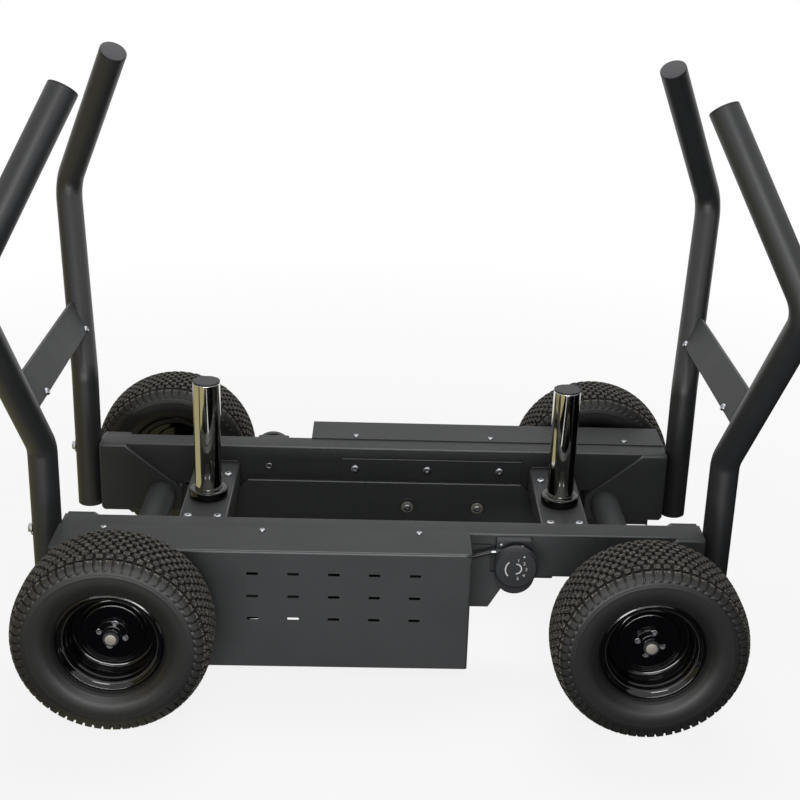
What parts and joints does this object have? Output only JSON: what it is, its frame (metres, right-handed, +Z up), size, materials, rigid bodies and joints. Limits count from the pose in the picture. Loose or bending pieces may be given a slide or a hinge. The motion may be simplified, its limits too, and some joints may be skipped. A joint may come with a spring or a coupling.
{
  "type": "weight sled",
  "caption": "Wheeled weight sled: two steel side rails, a chromed plate horn at each end, turf tyres, folded covers over magnetic brakes, and bent push handles.",
  "frame": {"origin": "on the floor, under the middle of the sled", "axes": "+X towards the front end along the rails, +Y to the left side, +Z up"},
  "size_m": [1.3306, 0.893, 1.0348],
  "materials": {
    "powder_coat": "satin black powder coat with a fine grain",
    "tube_coat": "satin blue-black powder coat",
    "chrome": "bright chrome plate",
    "zinc_plate": "bright zinc plate",
    "gloss_enamel": "gloss black enamel",
    "tyre_rubber": "dull brown-black rubber",
    "black_plastic": "fine moulded grain",
    "cable_jacket": "smooth extruded jacket",
    "aluminium": "turned",
    "belt_rubber": "ribbed belt rubber"
  },
  "bodies": {
    "frame": {"right_rail": "powder_coat", "rear_right_bracket": "powder_coat", "front_right_bracket": "powder_coat", "rear_axle_tube": "powder_coat", "rear_axle": "zinc_plate", "rear_cross_beam": "powder_coat", "rear_horn": "chrome", "rear_horn_collar": "powder_coat", "rear_horn_cap": "black_plastic", "right_drive_plate": "powder_coat", "right_drive_belt": "belt_rubber", "right_cover": "powder_coat", "right_dial_housing": "black_plastic", "right_cable": "cable_jacket", "right_inner_panel": "powder_coat", "left_rail": "powder_coat", "front_left_bracket": "powder_coat", "rear_left_bracket": "powder_coat", "front_axle_tube": "powder_coat", "front_axle": "zinc_plate", "front_cross_beam": "powder_coat", "front_horn": "chrome", "front_horn_collar": "powder_coat", "front_horn_cap": "black_plastic", "left_drive_plate": "powder_coat", "left_drive_belt": "belt_rubber", "left_cover": "powder_coat", "left_dial_housing": "black_plastic", "left_cable": "cable_jacket", "left_inner_panel": "powder_coat", "rear_right_handle": "tube_coat", "rear_right_handle_cap": "black_plastic", "rear_left_handle": "tube_coat", "rear_left_handle_cap": "black_plastic", "rear_cross_plate": "powder_coat", "front_right_handle": "tube_coat", "front_right_handle_cap": "black_plastic", "front_left_handle": "tube_coat", "front_left_handle_cap": "black_plastic", "front_cross_plate": "powder_coat"},
    "rear_right_wheel": {"rear_right_tyre": "tyre_rubber", "rear_right_rim": "gloss_enamel", "rear_right_hub": "gloss_enamel", "rear_right_pulley": "aluminium"},
    "front_right_wheel": {"front_right_tyre": "tyre_rubber", "front_right_rim": "gloss_enamel", "front_right_hub": "gloss_enamel"},
    "right_flywheel": {"right_flywheel": "aluminium"},
    "right_magnet_arm": {"right_magnet_arm": "zinc_plate"},
    "right_dial": {"right_dial": "black_plastic"},
    "front_left_wheel": {"front_left_tyre": "tyre_rubber", "front_left_rim": "gloss_enamel", "front_left_hub": "gloss_enamel", "front_left_pulley": "aluminium"},
    "rear_left_wheel": {"rear_left_tyre": "tyre_rubber", "rear_left_rim": "gloss_enamel", "rear_left_hub": "gloss_enamel"},
    "left_flywheel": {"left_flywheel": "aluminium"},
    "left_magnet_arm": {"left_magnet_arm": "zinc_plate"},
    "left_dial": {"left_dial": "black_plastic"}
  },
  "joints": [
    {"name": "rear_right_wheel_spin", "type": "hinge", "parent": "frame", "child": "rear_right_wheel", "pos_m": [-0.4427, -0.3815, 0.165], "axis": [0, 1, 0], "continuous": true},
    {"name": "front_right_wheel_spin", "type": "hinge", "parent": "frame", "child": "front_right_wheel", "pos_m": [0.4427, -0.3815, 0.165], "axis": [0, 1, 0], "continuous": true},
    {"name": "right_flywheel_spin", "type": "hinge", "parent": "frame", "child": "right_flywheel", "pos_m": [-0.02, -0.272, 0.158], "axis": [0, 1, 0], "continuous": true},
    {"name": "right_dial_turn", "type": "hinge", "parent": "frame", "child": "right_dial", "pos_m": [0.228, -0.245, 0.225], "axis": [0, 1, 0], "range_deg": [0, 150]},
    {"name": "right_magnet_arm_swing", "type": "hinge", "parent": "frame", "child": "right_magnet_arm", "pos_m": [0.118, -0.272, 0.2], "axis": [0, -1, 0], "range_deg": [0, 15]},
    {"name": "front_left_wheel_spin", "type": "hinge", "parent": "frame", "child": "front_left_wheel", "pos_m": [0.4427, 0.3815, 0.165], "axis": [0, -1, 0], "continuous": true},
    {"name": "rear_left_wheel_spin", "type": "hinge", "parent": "frame", "child": "rear_left_wheel", "pos_m": [-0.4427, 0.3815, 0.165], "axis": [0, -1, 0], "continuous": true},
    {"name": "left_flywheel_spin", "type": "hinge", "parent": "frame", "child": "left_flywheel", "pos_m": [0.02, 0.272, 0.158], "axis": [0, -1, 0], "continuous": true},
    {"name": "left_dial_turn", "type": "hinge", "parent": "frame", "child": "left_dial", "pos_m": [-0.228, 0.245, 0.225], "axis": [0, -1, 0], "range_deg": [0, 150]},
    {"name": "left_magnet_arm_swing", "type": "hinge", "parent": "frame", "child": "left_magnet_arm", "pos_m": [-0.118, 0.272, 0.2], "axis": [0, 1, 0], "range_deg": [0, 15]}
  ],
  "couplings": [
    {"joint": "right_flywheel_spin", "follows": "rear_right_wheel_spin", "ratio": 2.75},
    {"joint": "right_magnet_arm_swing", "follows": "right_dial_turn", "ratio": 0.1},
    {"joint": "left_flywheel_spin", "follows": "front_left_wheel_spin", "ratio": 2.75},
    {"joint": "left_magnet_arm_swing", "follows": "left_dial_turn", "ratio": 0.1}
  ]
}
